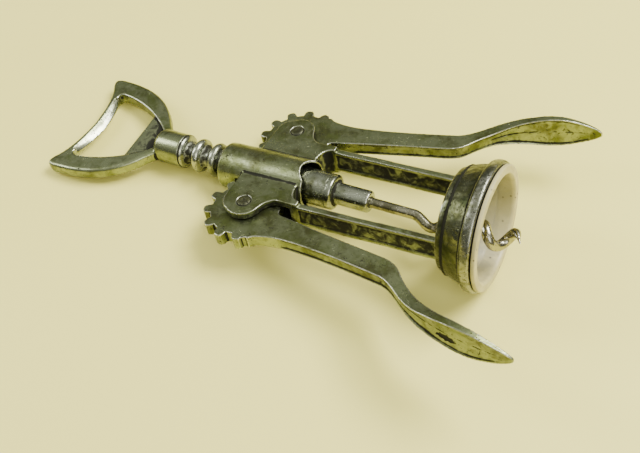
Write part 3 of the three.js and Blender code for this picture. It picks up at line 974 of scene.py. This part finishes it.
def tooth_half_angle(radius):
    base = PITCH_RADIUS * math.cos(PRESSURE_ANGLE)
    local = math.acos(base / radius) if radius > base else 0.0
    thickness = RING_PITCH / 2 - BACKLASH / 2
    involute = (math.tan(PRESSURE_ANGLE) - PRESSURE_ANGLE) - (math.tan(local) - local)
    return thickness / (2 * PITCH_RADIUS) + involute


def gear_tooth():
    radii = [GEAR_ROOT - 1.2, GEAR_ROOT, 11.4, 12.0, 12.5, GEAR_TIP - 0.4]
    right = [(r * math.cos(tooth_half_angle(r)), r * math.sin(tooth_half_angle(r))) for r in radii]
    tip = tooth_half_angle(GEAR_TIP)
    crown = [
        (GEAR_TIP * math.cos(tip * share), GEAR_TIP * math.sin(tip * share))
        for share in (0.75, 0.35, 0, -0.35, -0.75)
    ]
    outline = right + crown + mirror_y(right)
    return prism("tooth", outline, -GEAR_HALF, GEAR_HALF)


def lever(name, side, splay):
    step = RING_PITCH / PITCH_RADIUS
    facing = 1.5 * math.pi + math.asin(MESH_X / PITCH_RADIUS) - splay
    teeth = with_inputs(
        gear_tooth(), COPIES, Count=TEETH, Step=0.0, Start_Angle=facing, Turn=-step, Material=LEVER_METAL
    )
    disc = upright("disc", 0, 0, GEAR_ROOT, GEAR_HALF, 96)
    neck = [(0, -6), (8.4, -4.6), (11, -3.3), (11, 6.8), (9.4, 8.9), (2, 8.5)]
    shoulder = prism("shoulder", neck, -GEAR_HALF, GEAR_HALF)
    obj = join(disc, teeth, shoulder, lever_bar())
    tools = [upright("hole", 0, 0, PIN_RADIUS + 0.2, 6)]
    if side < 0:
        slot = rounded_prism("slot", slot_outline(), 1.0, 0.2)
        slot.data.transform(Matrix.Rotation(math.pi / 2, 4, "X"))
        slot.data.transform(Matrix.Translation((SLOT_AT[0], 3.6, SLOT_AT[1])))
        tools.append(slot)
    cut(obj, *tools)
    cast_skin(obj, 0.18, 2, 0.45)
    ripple(obj, 0.03, 0.3, 11 + side)
    obj.name = name
    if side < 0:
        obj.data.transform(Matrix.Scale(-1, 4, (0, 1, 0)))
        outward(obj)
    return place(obj, lever_frame(side, splay))


def slot_outline():
    """A casting flaw: a narrow sunk slot, wider at one end."""
    points = []
    for i in range(24):
        angle = 2 * math.pi * i / 24
        wide = 0.9 + 0.25 * math.cos(angle)
        points.append((2.8 * math.cos(angle), wide * math.sin(angle)))
    return points


# ---- handle --------------------------------------------------------------

def handle_outline():
    half = HEAD_HALF
    corner = [(1.2, half - 5), (-0.9, half - 1.8), (-0.9, half + 0.2), (3.4, half + 0.1)]
    corner = [(x - HEAD_END, y) for x, y in corner]
    points = bezier([(-HEAD_END + 4.9, 0), (-HEAD_END + 4.2, half * 0.55), corner[0]], 16)
    points += bezier(corner, 14)[1:]
    points += bezier([corner[-1], (-HEAD_END + 17, half), (-51, 17), (-45.6, 10.4)], 24)[1:]
    points += bezier([(-45.6, 10.4), (-43.2, 7), (NECK_START + 0.8, 5.2)], 8)[1:]
    return points + mirror_y(points)[:-1]


BAR_INNER = [(-66.4, 0), (-66.7, 7), (-69.2, 12.6)]


def inner_outline(from_x=-HEAD_END):
    """The inside of the loop, or the part of it that lies past from_x."""
    bar = bezier(BAR_INNER, 12)
    corner = bezier([(-69.3, 12.6), (-69.8, 15), (-67, 14.6)], 8)
    rail = bezier([(-67, 14.6), (-58, 13.6), (-50, 9.6), (-43.4, 3.4)], 48)
    kept = [point for point in bar + corner[1:] + rail[1:] if point[0] > from_x]
    lower = mirror_y(kept)
    starts_on_axis = kept[0][1] == 0
    return kept + (lower[:-1] if starts_on_axis else lower)


def bar_slope(face):
    """What the wide slope along the inner side of the end bar takes away."""
    bar = bezier(BAR_INNER, 12)
    edge = bar[::-1] + [(x, -y) for x, y in bar[1:]]
    sections = []
    for height, reach in ((0.1, 0.0), (1.1, 1.15), (HEAD_THICK / 2 - 0.3, 2.3), (HEAD_THICK / 2 + 0.4, 3.2)):
        slope = [(x - reach * (1 - 0.62 * (y / 12.6) ** 2), y, face * height) for x, y in edge]
        sections.append(slope + [(-64.5, -12.2, face * height), (-64.5, 12.2, face * height)])
    return loft("bar_slope", sections)


def opener_handle():
    obj = rounded_prism("opener_body", handle_outline(), HEAD_THICK / 2, 1.15, 5)
    inner = rounded_prism("inner", inner_outline(), HEAD_THICK / 2, 0.55, 4, -1)
    cut(obj, inner, bar_slope(1), bar_slope(-1))
    web = prism("web", inset(inner_outline(LIP_X), -0.8), -1.2, 1.2)
    neck = turned("neck", [
        (NECK_START - 1.3, 0),
        (NECK_START - 1.2, 3.9),
        (NECK_START - 0.6, RACK_RADIUS - 0.7),
        (NECK_START + 0.4, RACK_RADIUS),
        (NECK_END - 0.5, RACK_RADIUS),
        (NECK_END, RACK_RADIUS - 0.5),
        (NECK_END, 0),
    ])
    join(obj, web, neck)
    cut(obj, turned("socket", plug(NECK_START + 1, NECK_END + 1, SHANK_BORE), 32))
    cast_skin(obj, 0.24, 3, 0.5)
    ripple(obj, 0.04, 0.3, 2)
    return place(obj, SLIDING)


# ---- rack, ferrule, worm -------------------------------------------------

def ring_rack():
    """One ring's worth of surface, copied along the axis and merged, then closed."""
    slope = math.tan(PRESSURE_ANGLE)
    pitch_line = PIVOT - PITCH_RADIUS
    gap = (RING_PITCH + BACKLASH) / 2
    top = gap / 2 + (RACK_RADIUS - pitch_line) * slope
    foot = gap / 2 - (pitch_line - RACK_ROOT) * slope
    half = RING_PITCH / 2
    side = bezier([(0, RACK_ROOT), (foot * 0.9, RACK_ROOT), (foot + 0.35, RACK_ROOT + 0.75)], 5)
    side += bezier([(top - 0.45, RACK_RADIUS - 0.95), (top + 0.05, RACK_RADIUS), (half, RACK_RADIUS)], 8)
    period = [(-x, r) for x, r in reversed(side[1:])] + side
    first = MESH_X - (RACK_DIPS - 1) * RING_PITCH
    ring = turned_open("ring_period", [(x + first, r) for x, r in period])
    rings = with_inputs(
        ring, COPIES, Count=RACK_DIPS, Step=RING_PITCH, Start_Angle=0.0, Turn=0.0, Material=RACK_METAL
    )
    start_x, end_x = first - half, MESH_X + half
    top_end = [(start_x, RACK_RADIUS), (RACK_START, RACK_RADIUS - 0.02), (RACK_START, SHANK_BORE)]
    plain = [(end_x, RACK_RADIUS), (RACK_END, RACK_RADIUS), (RACK_END, SHANK_BORE), (RACK_START, SHANK_BORE)]
    merge_into(rings, turned_open("top_end", top_end), turned_open("plain_end", plain))
    return place(rings, SLIDING)


def merge_into(obj, *others):
    bm = bmesh.new()
    bm.from_mesh(obj.data)
    for other in others:
        bm.from_mesh(other.data)
        bpy.data.objects.remove(other)
    bm.to_mesh(obj.data)
    bm.free()
    return outward(obj, 2e-3)


def ferrule():
    """Two steps with rounded shoulders and a fine groove before the first."""
    r, tip = FERRULE_RADIUS, FERRULE_TIP_RADIUS
    start, step, end = FERRULE_START, FERRULE_STEP, FERRULE_END
    profile = [(start, SHANK_BORE), (start, r - 0.3), (start + 0.3, r), (step - 2.1, r)]
    profile += [(step - 1.95, r - 0.14), (step - 1.8, r - 0.02)]
    profile += bezier([(step - 0.9, r), (step - 0.1, r), (step, r - 0.9)], 6)
    profile += bezier([(step, tip + 0.7), (step + 0.05, tip + 0.05), (step + 0.9, tip)], 5)
    profile += bezier([(end - 0.9, tip), (end, tip), (end, tip - 0.7)], 5)
    profile += [(end, SHANK_BORE), (start, SHANK_BORE)]
    return place(turned("ferrule_skin", profile), SLIDING)


def worm_tree():
    """A wire that runs straight, bends off its axis and winds to a ground point."""
    tree, entry, out = group_tree(
        "worm_wire",
        "GeometryNodeTree",
        [
            ("Geometry", "NodeSocketGeometry", None),
            ("Start", "NodeSocketFloat", -40.5),
            ("End", "NodeSocketFloat", WORM_END),
            ("Bend", "NodeSocketFloat", WORM_BEND),
            ("Full", "NodeSocketFloat", WORM_FULL),
            ("Ease", "NodeSocketFloat", WORM_EASE),
            ("Pitch", "NodeSocketFloat", WORM_PITCH),
            ("Coil Radius", "NodeSocketFloat", WORM_RADIUS),
            ("Angle", "NodeSocketFloat", WORM_ANGLE),
            ("Wire Radius", "NodeSocketFloat", WIRE_RADIUS),
            ("Point", "NodeSocketFloat", 4.5),
            ("Material", "NodeSocketMaterial", None),
        ],
        [("Geometry", "NodeSocketGeometry")],
    )
    get = entry.outputs
    line = add_node(tree, "GeometryNodeCurvePrimitiveLine", Start=(0, 0, 0), End=(1, 0, 0))
    fine = add_node(tree, "GeometryNodeResampleCurve", Curve=line.outputs[0], Count=900)
    t = tree.nodes.new("GeometryNodeSplineParameter").outputs["Factor"]
    length = minus(tree, get["End"], get["Start"])
    x = plus(tree, get["Start"], times(tree, t, length))
    spread = ramp(tree, x, get["Bend"], get["Full"])
    beyond = minus(tree, x, get["Full"])
    past = maths(tree, "MAXIMUM", plus(tree, beyond, get["Ease"]), 0.0)
    soft = maths(tree, "MINIMUM", past, times(tree, get["Ease"], 2.0))
    square = times(tree, soft, soft)
    eased = maths(tree, "DIVIDE", square, times(tree, get["Ease"], 4.0))
    advance = plus(tree, eased, minus(tree, past, soft))
    turns = times(tree, maths(tree, "DIVIDE", advance, get["Pitch"]), 2 * math.pi)
    angle = plus(tree, get["Angle"], turns)
    radius = times(tree, spread, get["Coil Radius"])
    y = times(tree, radius, maths(tree, "COSINE", angle))
    z = times(tree, radius, maths(tree, "SINE", angle))
    spot = add_node(tree, "ShaderNodeCombineXYZ", X=x, Y=y, Z=z)
    bent = add_node(tree, "GeometryNodeSetPosition", Geometry=fine.outputs[0], Position=spot.outputs[0])
    left = minus(tree, get["End"], x)
    taper = ramp(tree, left, 0.0, get["Point"], 0.16, 1.0)
    size = times(tree, get["Wire Radius"], taper)
    ring = add_node(tree, "GeometryNodeCurvePrimitiveCircle", Resolution=20, Radius=1.0)
    wire = add_node(
        tree,
        "GeometryNodeCurveToMesh",
        Curve=bent.outputs[0],
        Profile_Curve=ring.outputs[0],
        Scale=size,
        Fill_Caps=True,
    )
    real = add_node(tree, "GeometryNodeRealizeInstances", Geometry=wire.outputs[0])
    dressed = add_node(tree, "GeometryNodeSetMaterial", Geometry=real.outputs[0])
    tree.links.new(get["Material"], dressed.inputs["Material"])
    tree.links.new(dressed.outputs[0], out.inputs["Geometry"])
    return tree


def worm():
    obj = new_object("worm_wire", [(0, 0, 0)], [])
    with_inputs(obj, worm_tree(), Material=WORM_METAL)
    outward(obj)
    obj.data.transform(Matrix.Rotation(-HEAD_TURN, 4, "X"))
    return place(obj, SLIDING)


# ---- assembly ------------------------------------------------------------

def dress(obj, name, material, body, node, brightened=None, darkened=None):
    """Names a finished piece, gives it its finish and marks, and joins it to its body."""
    obj.name = name
    obj.data.name = name
    obj.data.materials.clear()
    obj.data.materials.append(material)
    obj.data.polygons.foreach_set("material_index", [0] * len(obj.data.polygons))
    mark_edges(obj, brightened, darkened)
    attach(obj, body)
    if node:
        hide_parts(node)
    return obj


def bell_wear_and_highlight(point):
    """The lip and the small end of the bell are handled most, and are brightened as wear with a painted
    highlight.
    """
    x = (CASTING.inverted() @ point).x
    lip = smoothstep(BELL_MOUTH - 3.1, BELL_MOUTH - 2.3, x)
    return max(0.5 * lip, 0.3 * (1 - smoothstep(BELL_BACK + 1.2, BELL_BACK + 2.0, x)))


def bar_wear_and_highlight(point):
    """The sloping inner side of the end bar is worn bright by caps, and also carries a painted highlight."""
    x, y, z = SLIDING.inverted() @ point
    near_bar = smoothstep(-71.2, -70.2, x) * (1 - smoothstep(-66.2, -65.2, x))
    return 0.55 * near_bar * (1 - smoothstep(13.0, 15.5, abs(y))) * (1 - smoothstep(1.5, 2.0, abs(z)))


def casting_painted_shade(point):
    """Painted shade darkens the web between the flanges of the arms and the rims of the cheeks."""
    x, y, z = CASTING.inverted() @ point
    web = smoothstep(15.5, 18.0, x) * (1 - smoothstep(BELL_BACK - 2, BELL_BACK, x))
    web *= 1 - smoothstep(2.2, 2.8, abs(z))
    rims = smoothstep(8.5, 10.0, abs(y)) * (1 - smoothstep(14.0, 16.0, x))
    rims *= 1 - smoothstep(CHEEK_TOP - 0.9, CHEEK_TOP - 0.4, abs(z))
    return 0.5 * max(web, rims)


def slot_darkening(point):
    """Darkens the flaw in the right leaf."""
    x, y, z = lever_frame(-1, RIGHT_SPLAY).inverted() @ point
    away = math.hypot((x - SLOT_AT[0]) / 3.0, (z - SLOT_AT[1]) / 1.1)
    away += 0.5 * noise.noise(Vector((x, 0, z)) * 1.2)
    return (1 - smoothstep(0.75, 1.1, away)) * smoothstep(2.2, 2.5, -y)


def build():
    body = place(casting_body(), CASTING)
    cup = place(bell(), CASTING)
    ring = place(bush(), CASTING)
    dress(body, "casting_skin", CASTING_METAL, "frame", "body_casting", None, casting_painted_shade)
    dress(cup, "bell_shell", BELL_METAL, "frame", None, bell_wear_and_highlight)
    dress(ring, "bush_insert", NYLON, "frame", "bell_bush")
    pins = []
    for word, side in (("left", 1), ("right", -1)):
        pin = place(peened_pin("pin"), CASTING @ Matrix.Translation((0, side * PIVOT, 0)))
        pins.append(dress(pin, f"peened_pin_{word}", PIN_METAL, "frame", f"pivot_pin_{word}"))
    # Painted shade: occlusion darkens the frame pieces, the inside of the bush, the levers and the screw
    # parts.
    mark_occlusion_shade([body, cup] + pins, [ring])
    mark_occlusion_shade([ring], [cup], 28 * MM, 16)
    for word, side, splay in (("left", 1, LEFT_SPLAY), ("right", -1, RIGHT_SPLAY)):
        node = f"lever_{word}"
        wing = lever(f"wing_lever_{word}", side, splay)
        # The slot in the right leaf is painted darker.
        dark_patch = slot_darkening if side < 0 else None
        dress(wing, f"wing_lever_{word}", LEVER_METAL, node, node, None, dark_patch)
        mark_occlusion_shade([wing])
    rings = dress(ring_rack(), "ringed_sleeve", RACK_METAL, "rack", "ring_rack")
    handle = opener_handle()
    dress(handle, "opener_grip", HANDLE_METAL, "screw", "opener_handle", bar_wear_and_highlight)
    tip = dress(ferrule(), "stepped_ferrule", RACK_METAL, "screw", "worm_ferrule")
    wire = dress(worm(), "wire_worm", WORM_METAL, "screw", "worm")
    mark_occlusion_shade([rings])
    mark_occlusion_shade([handle, tip, wire])


# ---- stage ---------------------------------------------------------------

CAMERA_AT = (128.1, -153.65, 171.07)
CAMERA_RIGHT = (0.8741, 0.4585, -0.1606)
CAMERA_DOWN = (0.2305, -0.6824, -0.6937)
FLOOR_HALF = 1.6


def camera():
    """Looks down on the tool from the right of the bell; place and turn are in the casting's frame."""
    data = bpy.data.cameras.new("view")
    data.sensor_width = 36
    data.lens = 47.8
    data.clip_start = 0.01
    obj = bpy.data.objects.new("view", data)
    bpy.context.scene.collection.objects.link(obj)
    turn = CASTING.to_3x3().normalized()
    right = turn @ Vector(CAMERA_RIGHT)
    down = turn @ Vector(CAMERA_DOWN)
    ahead = right.cross(down)
    matrix = Matrix((right, -down, -ahead)).transposed().to_4x4()
    matrix.translation = CASTING @ Vector(CAMERA_AT)
    obj.matrix_world = matrix
    bpy.context.scene.camera = obj


def softbox(name, place_at, target, width, height, power, colour=(1, 1, 1)):
    data = bpy.data.lights.new(name, "AREA")
    data.shape = "RECTANGLE"
    data.size = width
    data.size_y = height
    data.energy = power
    data.color = colour
    obj = bpy.data.objects.new(name, data)
    obj.location = place_at
    obj.rotation_euler = (Vector(target) - Vector(place_at)).to_track_quat("-Z", "Y").to_euler()
    bpy.context.scene.collection.objects.link(obj)


def stage():
    corners = [(FLOOR_HALF * x, FLOOR_HALF * y, 0) for x, y in ((-1, -1), (1, -1), (1, 1), (-1, 1))]
    floor = new_object("floor", corners, [(0, 1, 2, 3)])
    material, tree, shader, vector = new_material("pale_floor")
    cloud = noise_node(tree, vector, 3, 3)
    colour = blend_colour(tree, ramp(tree, cloud, 0.3, 0.7), (0.90, 0.82, 0.20), (0.93, 0.85, 0.23))
    tree.links.new(colour, shader.inputs["Base Color"])
    shader.inputs["Roughness"].default_value = 0.6
    floor.data.materials.append(material)
    middle = (0.0, 0.0, 0.01)
    softbox("key", (0.40, 0.34, 0.74), middle, 0.5, 0.4, 15.0, (1, 0.98, 0.93))
    softbox("rim", (-0.6, -0.12, 0.4), middle, 0.22, 0.5, 3.0)
    softbox("fill", (0.55, -0.5, 0.5), middle, 0.5, 0.5, 2.6, (1, 0.98, 0.9))
    world = bpy.data.worlds.new("studio")
    world.use_nodes = True
    tree = world.node_tree
    sky = tree.nodes["Background"]
    sky.inputs["Color"].default_value = (0.93, 0.95, 0.84, 1)
    height = tree.nodes.new("ShaderNodeSeparateXYZ")
    tree.links.new(tree.nodes.new("ShaderNodeTexCoord").outputs["Generated"], height.inputs[0])
    tree.links.new(ramp(tree, height.outputs["Z"], 0.1, 1.0, 0.16, 0.85), sky.inputs["Strength"])
    bpy.context.scene.world = world


camera()
stage()
build()
